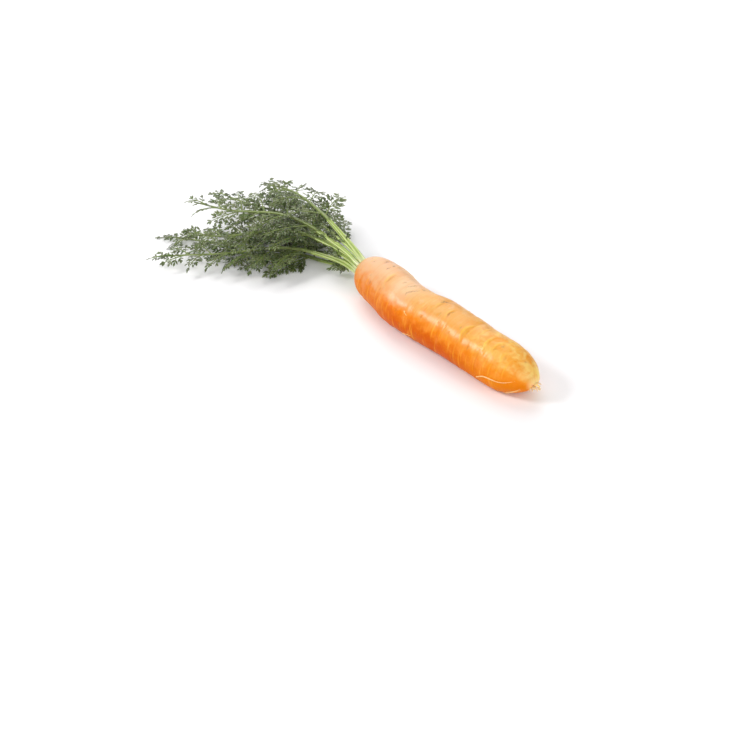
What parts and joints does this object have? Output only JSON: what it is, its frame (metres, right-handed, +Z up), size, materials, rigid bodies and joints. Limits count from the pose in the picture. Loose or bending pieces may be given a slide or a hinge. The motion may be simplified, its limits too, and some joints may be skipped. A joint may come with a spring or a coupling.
{
  "type": "carrot with its green top",
  "caption": "Fresh orange carrot lying down: a blunt, nearly even taproot with a sunken crown, grooved pale green leaf stalks and feathery green fronds.",
  "frame": {"origin": "on the surface that the carrot lies on, under the middle of its box, leaves included", "axes": "+X from the leaves to the root's tip, +Z up from the surface it lies on"},
  "size_m": [0.3432, 0.145, 0.0376],
  "materials": {
    "skin": "satin",
    "stalk": "satin",
    "frond": "matte"
  },
  "bodies": {
    "root": {"root": "skin", "stalk_1": "stalk", "stalk_2": "stalk", "stalk_3": "stalk", "stalk_4": "stalk", "stalk_5": "stalk", "stalk_6": "stalk", "stalk_7": "stalk", "frond_1": "frond", "frond_2": "frond", "frond_3": "frond", "frond_4": "frond", "frond_5": "frond", "frond_6": "frond", "frond_7": "frond"}
  },
  "joints": []
}
